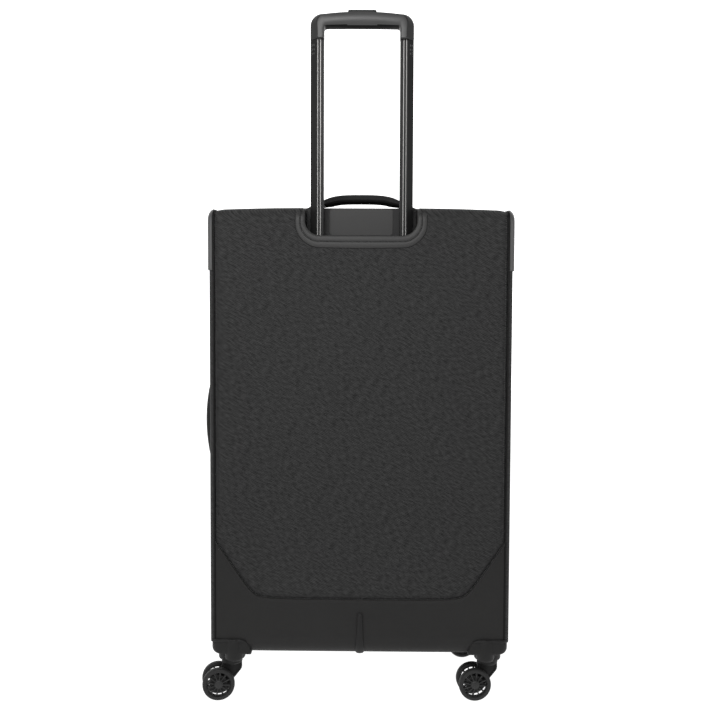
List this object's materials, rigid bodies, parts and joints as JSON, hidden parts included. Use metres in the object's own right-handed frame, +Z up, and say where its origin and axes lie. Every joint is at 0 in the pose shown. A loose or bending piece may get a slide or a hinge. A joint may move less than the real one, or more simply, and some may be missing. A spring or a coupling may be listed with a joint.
{
  "type": "softside upright suitcase",
  "caption": "Softside upright suitcase with a telescopic handle in a rear recess, carry handles, a hinged zip lid with pockets, and swivelling twin-wheel casters.",
  "frame": {"origin": "on the floor under the centre of the bounding box, the telescopic handle pulled out", "axes": "+Z up, +Y out of the rear face with the telescopic handle, +X towards the side with the carry handle and the lock; the lid faces -Y"},
  "size_m": [0.5002, 0.315, 1.0972],
  "materials": {
    "twill_fabric": "matte polyester twill",
    "smooth_fabric": "smooth coated polyester",
    "lining_fabric": "plain woven lining over board",
    "webbing": "woven webbing and zipper tape",
    "moulded_plastic": "fine-grained black moulding",
    "grip_plastic": "soft satin black moulding",
    "black_aluminium": "black anodised, satin, with polished edges",
    "steel": "plain drawn steel",
    "die_cast": "satin black over die-cast zinc",
    "wheel_plastic": "dark grey moulded wheel with a soft tread"
  },
  "bodies": {
    "case": {"rear_top_panel": "twill_fabric", "kick_panel": "smooth_fabric", "side_panel_left": "twill_fabric", "side_panel_right": "twill_fabric", "base_tray": "smooth_fabric", "zipper_track": "webbing", "lining_panel": "lining_fabric", "corner_guard_left": "moulded_plastic", "corner_guard_right": "moulded_plastic", "skid_rib": "moulded_plastic", "handle_housing": "moulded_plastic", "outer_tube_left": "black_aluminium", "outer_tube_right": "black_aluminium", "tube_foot": "moulded_plastic", "top_handle_strap": "webbing", "top_handle_cap_left": "moulded_plastic", "top_handle_cap_right": "moulded_plastic", "side_handle_strap": "webbing", "side_handle_cap_upper": "moulded_plastic", "side_handle_cap_lower": "moulded_plastic", "lock_body": "moulded_plastic", "caster_housing_rear_left": "moulded_plastic", "caster_housing_rear_right": "moulded_plastic", "caster_housing_front_left": "moulded_plastic", "caster_housing_front_right": "moulded_plastic"},
    "lid": {"lid_panel": "twill_fabric", "lid_pocket_upper": "twill_fabric", "lid_pocket_lower": "twill_fabric"},
    "handle": {"inner_tube_left": "black_aluminium", "inner_tube_right": "black_aluminium", "grip": "grip_plastic", "end_bush_left": "moulded_plastic", "end_bush_right": "moulded_plastic"},
    "release": {"grip_button": "grip_plastic", "push_rod_left": "steel", "push_rod_right": "steel"},
    "dial_1": {"lock_dial_1": "die_cast"},
    "dial_2": {"lock_dial_2": "die_cast"},
    "dial_3": {"lock_dial_3": "die_cast"},
    "lock_release": {"lock_button": "die_cast"},
    "slider_upper": {"main_slider_upper": "die_cast"},
    "slider_lower": {"main_slider_lower": "die_cast"},
    "pocket_slider_high": {"pocket_slider_upper": "die_cast"},
    "pocket_slider_low": {"pocket_slider_lower": "die_cast"},
    "swivel_rear_left": {"fork_rear_left": "moulded_plastic", "axle_rear_left": "steel"},
    "wheel_rear_left_a": {"wheel_rear_left_a": "wheel_plastic"},
    "wheel_rear_left_b": {"wheel_rear_left_b": "wheel_plastic"},
    "swivel_rear_right": {"fork_rear_right": "moulded_plastic", "axle_rear_right": "steel"},
    "wheel_rear_right_a": {"wheel_rear_right_a": "wheel_plastic"},
    "wheel_rear_right_b": {"wheel_rear_right_b": "wheel_plastic"},
    "swivel_front_left": {"fork_front_left": "moulded_plastic", "axle_front_left": "steel"},
    "wheel_front_left_a": {"wheel_front_left_a": "wheel_plastic"},
    "wheel_front_left_b": {"wheel_front_left_b": "wheel_plastic"},
    "swivel_front_right": {"fork_front_right": "moulded_plastic", "axle_front_right": "steel"},
    "wheel_front_right_a": {"wheel_front_right_a": "wheel_plastic"},
    "wheel_front_right_b": {"wheel_front_right_b": "wheel_plastic"}
  },
  "joints": [
    {"name": "handle_slide", "type": "slide", "parent": "case", "child": "handle", "axis": [0, 0, -1], "range_m": [0, 0.3045]},
    {"name": "button_press", "type": "slide", "parent": "handle", "child": "release", "axis": [0, 0, -1], "range_m": [0, 0.003], "stiffness_N_per_m": 800, "springref_m": -0.002},
    {"name": "lid_hinge", "type": "hinge", "parent": "case", "child": "lid", "pos_m": [-0.2476, -0.121, 0.437], "axis": [0, 0, -1], "range_deg": [0, 160]},
    {"name": "main_slider_upper_travel", "type": "slide", "parent": "case", "child": "slider_upper", "axis": [0, 0, 1], "range_m": [0, 0.08]},
    {"name": "main_slider_lower_travel", "type": "slide", "parent": "case", "child": "slider_lower", "axis": [0, 0, -1], "range_m": [0, 0.44]},
    {"name": "pocket_slider_high_travel", "type": "slide", "parent": "lid", "child": "pocket_slider_high", "axis": [-1, 0, 0], "range_m": [0, 0.33]},
    {"name": "pocket_slider_low_travel", "type": "slide", "parent": "lid", "child": "pocket_slider_low", "axis": [-1, 0, 0], "range_m": [0, 0.33]},
    {"name": "lock_button_press", "type": "slide", "parent": "case", "child": "lock_release", "axis": [-1, 0, 0], "range_m": [0, 0.0025], "stiffness_N_per_m": 500, "springref_m": -0.001},
    {"name": "lock_dial_1_turn", "type": "hinge", "parent": "case", "child": "dial_1", "pos_m": [0.2368, -0.101, 0.6284], "axis": [0, 0, 1], "continuous": true},
    {"name": "lock_dial_2_turn", "type": "hinge", "parent": "case", "child": "dial_2", "pos_m": [0.2368, -0.101, 0.6364], "axis": [0, 0, 1], "continuous": true},
    {"name": "lock_dial_3_turn", "type": "hinge", "parent": "case", "child": "dial_3", "pos_m": [0.2368, -0.101, 0.6444], "axis": [0, 0, 1], "continuous": true},
    {"name": "swivel_rear_left", "type": "hinge", "parent": "case", "child": "swivel_rear_left", "pos_m": [-0.2179, 0.112, 0.05], "axis": [0, 0, 1], "continuous": true},
    {"name": "spin_rear_left_a", "type": "hinge", "parent": "swivel_rear_left", "child": "wheel_rear_left_a", "pos_m": [-0.19636, 0.12835, 0.026], "axis": [-0.061, 0.9981, 0], "continuous": true},
    {"name": "spin_rear_left_b", "type": "hinge", "parent": "swivel_rear_left", "child": "wheel_rear_left_b", "pos_m": [-0.19453, 0.0984, 0.026], "axis": [-0.061, 0.9981, 0], "continuous": true},
    {"name": "swivel_rear_right", "type": "hinge", "parent": "case", "child": "swivel_rear_right", "pos_m": [0.1981, 0.112, 0.05], "axis": [0, 0, 1], "continuous": true},
    {"name": "spin_rear_right_a", "type": "hinge", "parent": "swivel_rear_right", "child": "wheel_rear_right_a", "pos_m": [0.21782, 0.13051, 0.026], "axis": [-0.165, 0.9863, 0], "continuous": true},
    {"name": "spin_rear_right_b", "type": "hinge", "parent": "swivel_rear_right", "child": "wheel_rear_right_b", "pos_m": [0.22277, 0.10092, 0.026], "axis": [-0.165, 0.9863, 0], "continuous": true},
    {"name": "swivel_front_left", "type": "hinge", "parent": "case", "child": "swivel_front_left", "pos_m": [-0.2179, -0.087, 0.05], "axis": [0, 0, 1], "continuous": true},
    {"name": "spin_front_left_a", "type": "hinge", "parent": "swivel_front_left", "child": "wheel_front_left_a", "pos_m": [-0.1954, -0.072, 0.026], "axis": [0, 1, 0], "continuous": true},
    {"name": "spin_front_left_b", "type": "hinge", "parent": "swivel_front_left", "child": "wheel_front_left_b", "pos_m": [-0.1954, -0.102, 0.026], "axis": [0, 1, 0], "continuous": true},
    {"name": "swivel_front_right", "type": "hinge", "parent": "case", "child": "swivel_front_right", "pos_m": [0.1981, -0.087, 0.05], "axis": [0, 0, 1], "continuous": true},
    {"name": "spin_front_right_a", "type": "hinge", "parent": "swivel_front_right", "child": "wheel_front_right_a", "pos_m": [0.2206, -0.072, 0.026], "axis": [0, 1, 0], "continuous": true},
    {"name": "spin_front_right_b", "type": "hinge", "parent": "swivel_front_right", "child": "wheel_front_right_b", "pos_m": [0.2206, -0.102, 0.026], "axis": [0, 1, 0], "continuous": true}
  ]
}
